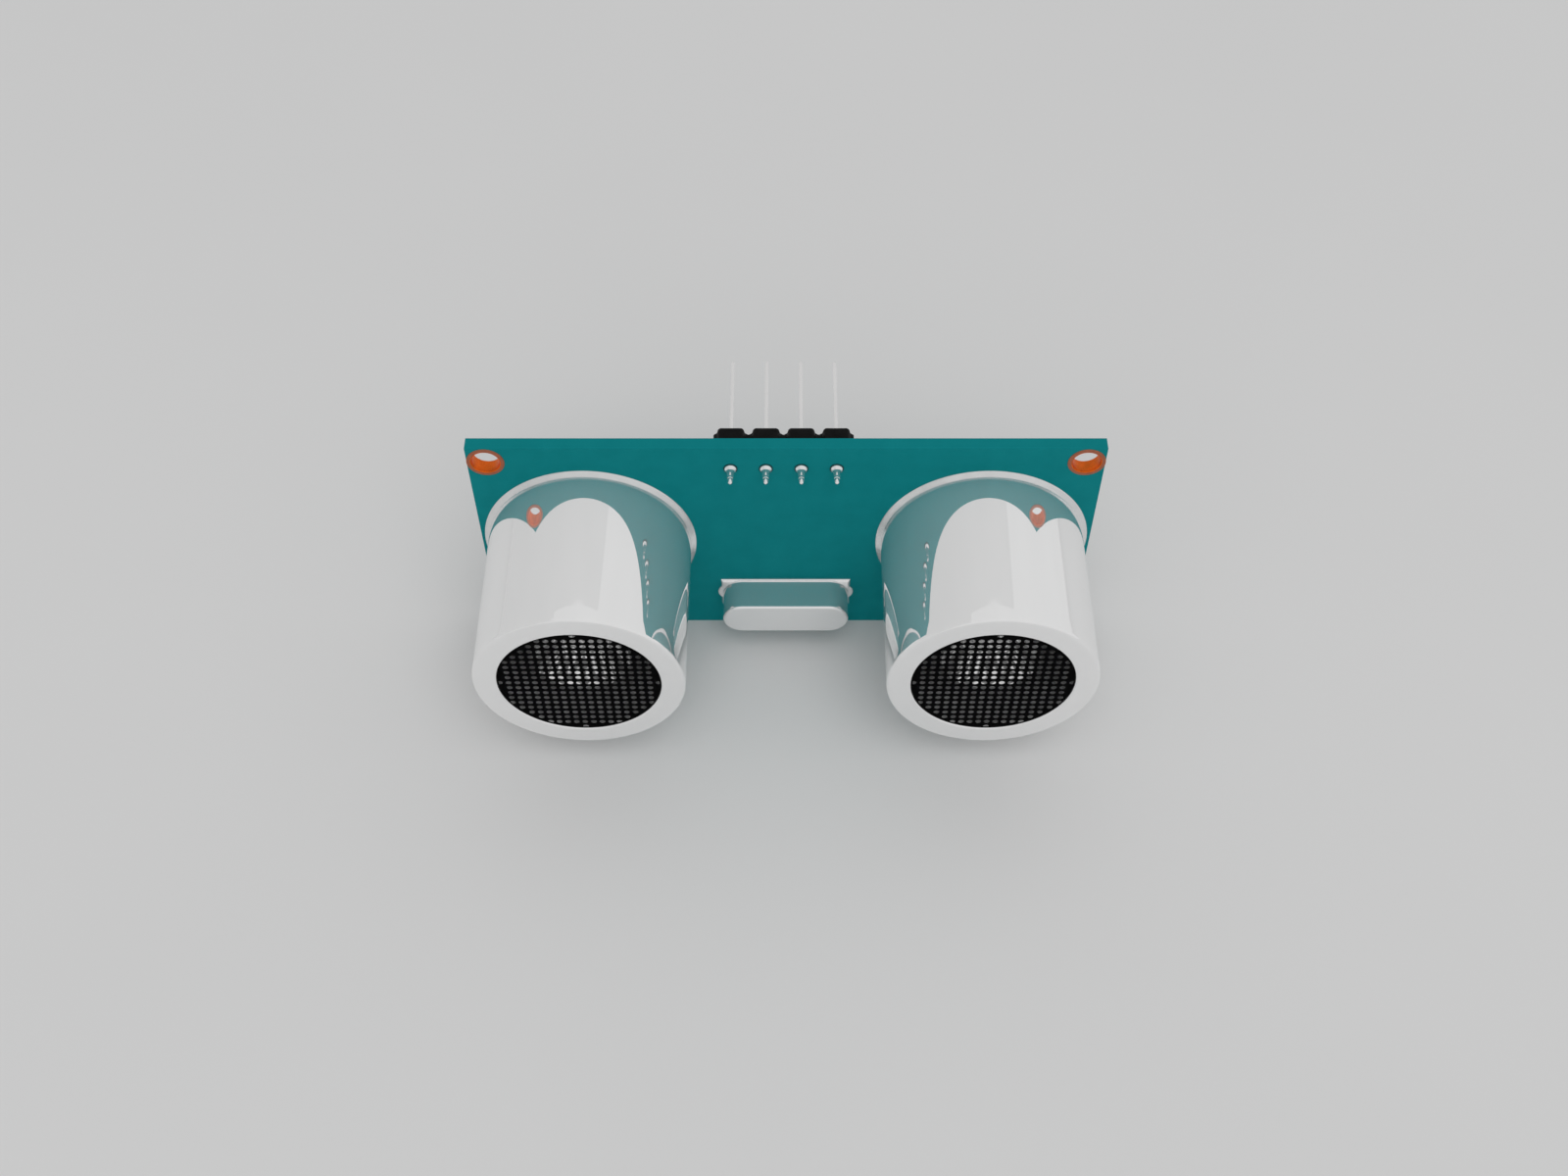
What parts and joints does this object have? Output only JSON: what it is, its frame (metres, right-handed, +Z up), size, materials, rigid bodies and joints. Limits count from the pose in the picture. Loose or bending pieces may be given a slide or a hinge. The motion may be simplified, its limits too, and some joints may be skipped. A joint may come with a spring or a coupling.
{
  "type": "ultrasonic distance sensor",
  "caption": "Ultrasonic ranging module: a small circuit board with a transmitter and a receiver can side by side, a crystal between them and a straight pin header on the back.",
  "frame": {"origin": "centre of the four mounting holes, on the circuit board's front face", "axes": "+X along the board's length, +Y out of the board's back (the transducers look along -Y), +Z up along the board's height, towards the header"},
  "size_m": [0.0456, 0.0236, 0.0204],
  "materials": {
    "solder_mask": "semi-gloss teal solder mask over glass-epoxy",
    "bare_copper": "orange-red copper, plated barrel",
    "can_metal": "bright drawn aluminium",
    "grille_black": "matt black coating",
    "base_resin": "light grey moulded resin",
    "silicone": "grey silicone",
    "horn_aluminium": "bright formed aluminium",
    "diaphragm_metal": "plain sheet",
    "ceramic": "silvered piezo ceramic",
    "cement": "hard cement",
    "tinned_metal": "tin plated",
    "solder": "bright solder",
    "insulated_wire": "thin enamelled wire",
    "header_black": "moulded nylon",
    "crystal_metal": "nickel plated steel",
    "seal_glass": "sealing glass",
    "quartz": "polished quartz",
    "electrode_silver": "evaporated silver",
    "chip_epoxy": "moulding compound",
    "resistor_black": "glazed ceramic",
    "capacitor_tan": "sintered ceramic"
  },
  "bodies": {
    "root": {"circuit_board": "solder_mask", "mounting_hole_barrels": "bare_copper", "terminal_pads": "solder", "header_housing": "header_black", "header_pins": "tinned_metal", "header_solder_joints": "solder", "header_pads": "tinned_metal", "crystal_can": "crystal_metal", "crystal_base_plate": "crystal_metal", "crystal_leads": "tinned_metal", "crystal_glass_seals": "seal_glass", "crystal_solder_lugs": "solder", "crystal_mount_springs": "tinned_metal", "crystal_quartz_blank": "quartz", "crystal_electrodes": "electrode_silver", "amplifier_chip": "chip_epoxy", "amplifier_chip_leads": "tinned_metal", "controller_chip": "chip_epoxy", "controller_chip_leads": "tinned_metal", "driver_chip": "chip_epoxy", "driver_chip_leads": "tinned_metal", "transistor": "chip_epoxy", "transistor_leads": "tinned_metal", "chip_resistors": "resistor_black", "chip_resistor_ends": "solder", "chip_capacitors": "capacitor_tan", "chip_capacitor_ends": "solder", "surface_pads": "solder", "receiver_base": "base_resin", "receiver_can": "can_metal", "receiver_grille": "grille_black", "receiver_cushion_ring": "silicone", "receiver_diaphragm": "diaphragm_metal", "receiver_piezo_disc": "ceramic", "receiver_horn_cone": "horn_aluminium", "receiver_cone_cement": "cement", "receiver_terminals": "tinned_metal", "receiver_lead_wires": "insulated_wire", "receiver_solder_joints": "solder", "transmitter_base": "base_resin", "transmitter_can": "can_metal", "transmitter_grille": "grille_black", "transmitter_cushion_ring": "silicone", "transmitter_diaphragm": "diaphragm_metal", "transmitter_piezo_disc": "ceramic", "transmitter_horn_cone": "horn_aluminium", "transmitter_cone_cement": "cement", "transmitter_terminals": "tinned_metal", "transmitter_lead_wires": "insulated_wire", "transmitter_solder_joints": "solder"}
  },
  "joints": []
}
